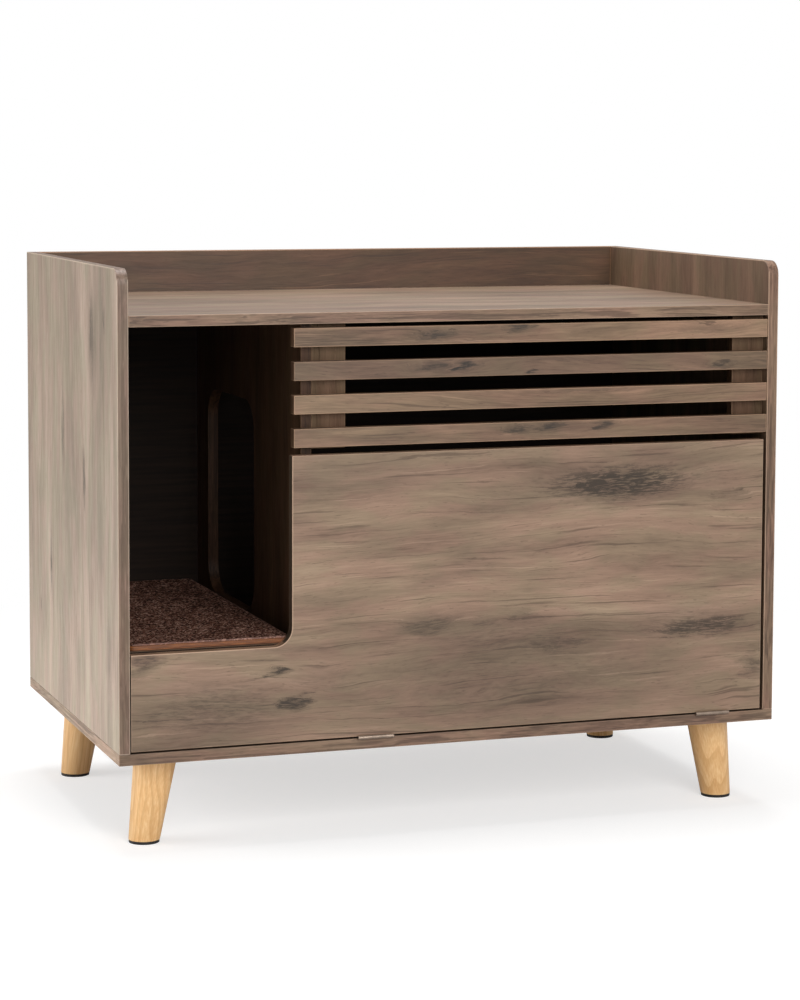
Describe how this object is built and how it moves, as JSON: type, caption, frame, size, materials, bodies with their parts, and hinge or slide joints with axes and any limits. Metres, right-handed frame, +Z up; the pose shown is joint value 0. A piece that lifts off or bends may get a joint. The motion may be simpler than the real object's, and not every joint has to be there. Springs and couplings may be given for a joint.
{
  "type": "cat litter box cabinet",
  "caption": "Wood-look cat litter cabinet on splayed legs, with an entrance bay, louvre, L-shaped flip-down front door and lift-out scratch pad.",
  "frame": {"origin": "on the floor, in the middle of the whole object's width and depth", "axes": "+X to the right seen from the front, +Y to the back, +Z up; the door and entrance face -Y"},
  "size_m": [0.94, 0.5656, 0.765],
  "materials": {
    "grey_oak_board": "matt melamine decor with a rustic grey-brown oak grain",
    "back_board": "thin board with the same decor, plainer",
    "raw_cleat": "matt melamine decor strip",
    "pine": "clear-lacquered pine",
    "foot_plastic": "matt black",
    "nickel": "nickel-plated steel",
    "zinc_steel": "zinc-plated steel",
    "cam_metal": "die-cast zinc alloy",
    "catch_plastic": "brown moulded plastic",
    "beech": "plain fluted beech",
    "pad_edge": "orange-brown stained edge",
    "carpet": "short dark brown loop pile"
  },
  "bodies": {
    "cabinet": {"base_panel": "grey_oak_board", "left_side_panel": "grey_oak_board", "right_side_panel": "grey_oak_board", "tabletop": "grey_oak_board", "back_rail": "grey_oak_board", "back_panel": "back_board", "divider_panel": "grey_oak_board", "louvre_slat_1": "grey_oak_board", "louvre_slat_2": "grey_oak_board", "louvre_slat_3": "grey_oak_board", "louvre_slat_4": "grey_oak_board", "louvre_batten_left": "grey_oak_board", "louvre_batten_right": "grey_oak_board", "entrance_platform": "grey_oak_board", "platform_cleat_left": "raw_cleat", "platform_cleat_right": "raw_cleat", "hinge_left_base_leaf": "nickel", "hinge_left_pin": "nickel", "hinge_right_base_leaf": "nickel", "hinge_right_pin": "nickel", "hinge_base_screws": "nickel", "catch_left_housing": "catch_plastic", "catch_left_magnet": "zinc_steel", "catch_right_housing": "catch_plastic", "catch_right_magnet": "zinc_steel", "catch_screws": "zinc_steel", "leg_front_left": "pine", "leg_front_right": "pine", "leg_back_left": "pine", "leg_back_right": "pine", "foot_pad_front_left": "foot_plastic", "foot_pad_front_right": "foot_plastic", "foot_pad_back_left": "foot_plastic", "foot_pad_back_right": "foot_plastic", "louvre_screws": "zinc_steel", "batten_dowels": "beech", "cam_locks": "cam_metal", "cam_bolts": "zinc_steel", "frame_dowels": "beech", "back_rail_screws": "zinc_steel", "connecting_screws": "zinc_steel", "cleat_screws": "zinc_steel", "platform_screws": "zinc_steel", "hanger_bolts": "zinc_steel", "threaded_inserts": "zinc_steel"},
    "door": {"door_panel": "grey_oak_board", "hinge_left_door_leaf": "nickel", "hinge_right_door_leaf": "nickel", "hinge_door_screws": "nickel", "strike_plate_left": "zinc_steel", "strike_plate_right": "zinc_steel", "strike_plate_screws": "zinc_steel"},
    "scratch_pad": {"scratch_pad_board": "pad_edge", "scratch_pad_carpet": "carpet"}
  },
  "joints": [
    {"name": "door_hinge", "type": "hinge", "parent": "cabinet", "child": "door", "pos_m": [0, -0.2801, 0.1362], "axis": [1, 0, 0], "range_deg": [0, 110]},
    {"name": "pad_lift", "type": "slide", "parent": "cabinet", "child": "scratch_pad", "axis": [0, 0, 1], "range_m": [0, 0.08]}
  ]
}
